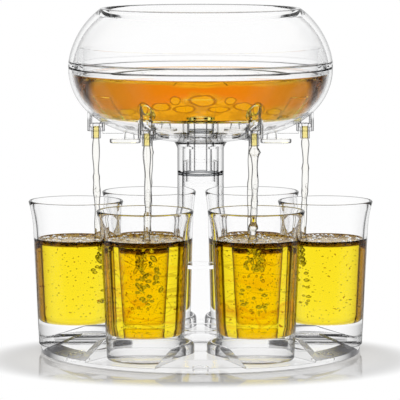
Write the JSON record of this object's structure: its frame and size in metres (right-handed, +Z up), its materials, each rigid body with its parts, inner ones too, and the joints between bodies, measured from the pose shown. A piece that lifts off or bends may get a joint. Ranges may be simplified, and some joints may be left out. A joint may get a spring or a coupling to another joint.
{
  "type": "party shot dispenser",
  "caption": "Clear double-walled drink bowl on a stem over a round tray; nozzles under the bowl fill shot glasses in bays, with a rotary valve and stoppers.",
  "frame": {"origin": "on the table below the middle of the tray", "axes": "+Z up along the column, +X along the bay of the right-hand side glass, -Y towards the user"},
  "size_m": [0.1816, 0.169, 0.181],
  "materials": {
    "tray_acrylic": "clear polished acrylic",
    "stem_acrylic": "clear polished acrylic",
    "bowl_acrylic": "clear polished acrylic",
    "valve_acrylic": "clear moulded acrylic",
    "nozzle_acrylic": "clear moulded acrylic",
    "stopper_acrylic": "clear moulded acrylic",
    "clear_silicone": "translucent silicone",
    "shot_glass": "clear glass, heavy base",
    "amber_drink": "amber spirit in the bowl",
    "golden_drink": "golden spirit in the glasses"
  },
  "bodies": {
    "base": {"tray": "tray_acrylic", "tray_feet": "clear_silicone", "column": "tray_acrylic"},
    "ring": {"swivel_ring": "clear_silicone"},
    "head": {"stem": "stem_acrylic", "spigot": "stem_acrylic", "outer_shell": "bowl_acrylic", "inner_bowl": "bowl_acrylic", "joint_ring": "bowl_acrylic", "joint_seal_lower": "clear_silicone", "joint_seal_upper": "clear_silicone", "upper_dome": "bowl_acrylic", "nozzle_1": "nozzle_acrylic", "nozzle_2": "nozzle_acrylic", "nozzle_3": "nozzle_acrylic", "nozzle_4": "nozzle_acrylic", "nozzle_5": "nozzle_acrylic", "nozzle_6": "nozzle_acrylic"},
    "valve": {"valve_rotor": "valve_acrylic", "valve_knob": "valve_acrylic", "valve_spindle": "valve_acrylic", "spindle_seal": "clear_silicone", "spindle_clip": "valve_acrylic"},
    "stopper_1": {"stopper_1": "stopper_acrylic"},
    "stopper_2": {"stopper_2": "stopper_acrylic"},
    "stopper_3": {"stopper_3": "stopper_acrylic"},
    "stopper_4": {"stopper_4": "stopper_acrylic"},
    "glass_1": {"glass_1": "shot_glass"},
    "glass_2": {"glass_2": "shot_glass"},
    "glass_3": {"glass_3": "shot_glass"},
    "glass_4": {"glass_4": "shot_glass"},
    "glass_5": {"glass_5": "shot_glass"},
    "glass_6": {"glass_6": "shot_glass"}
  },
  "joints": [
    {"name": "head_swivel", "type": "hinge", "parent": "base", "child": "ring", "pos_m": [0, 0, 0.0934], "axis": [0, 0, 1], "continuous": true},
    {"name": "head_lift", "type": "slide", "parent": "ring", "child": "head", "axis": [0, 0, 1], "range_m": [0, 0.06]},
    {"name": "valve_turn", "type": "hinge", "parent": "head", "child": "valve", "pos_m": [0, 0, 0.1268], "axis": [0, 0, 1], "range_deg": [0, 30]},
    {"name": "stopper_1_pull", "type": "slide", "parent": "head", "child": "stopper_1", "axis": [0, 0, -1], "range_m": [0, 0.012]},
    {"name": "stopper_2_pull", "type": "slide", "parent": "head", "child": "stopper_2", "axis": [0, 0, -1], "range_m": [0, 0.012]},
    {"name": "stopper_3_pull", "type": "slide", "parent": "head", "child": "stopper_3", "axis": [0, 0, -1], "range_m": [0, 0.012]},
    {"name": "stopper_4_pull", "type": "slide", "parent": "head", "child": "stopper_4", "axis": [0, 0, -1], "range_m": [0, 0.012]},
    {"name": "glass_1_slide", "type": "slide", "parent": "base", "child": "glass_1", "axis": [1, 0, 0], "range_m": [-0.0088, 0.0412]},
    {"name": "glass_2_slide", "type": "slide", "parent": "base", "child": "glass_2", "axis": [0.5, 0.866, 0], "range_m": [0, 0.05]},
    {"name": "glass_3_slide", "type": "slide", "parent": "base", "child": "glass_3", "axis": [-0.5, 0.866, 0], "range_m": [0, 0.05]},
    {"name": "glass_4_slide", "type": "slide", "parent": "base", "child": "glass_4", "axis": [-1, 0, 0], "range_m": [-0.0088, 0.0412]},
    {"name": "glass_5_slide", "type": "slide", "parent": "base", "child": "glass_5", "axis": [-0.5, -0.866, 0], "range_m": [0, 0.05]},
    {"name": "glass_6_slide", "type": "slide", "parent": "base", "child": "glass_6", "axis": [0.5, -0.866, 0], "range_m": [0, 0.05]}
  ]
}
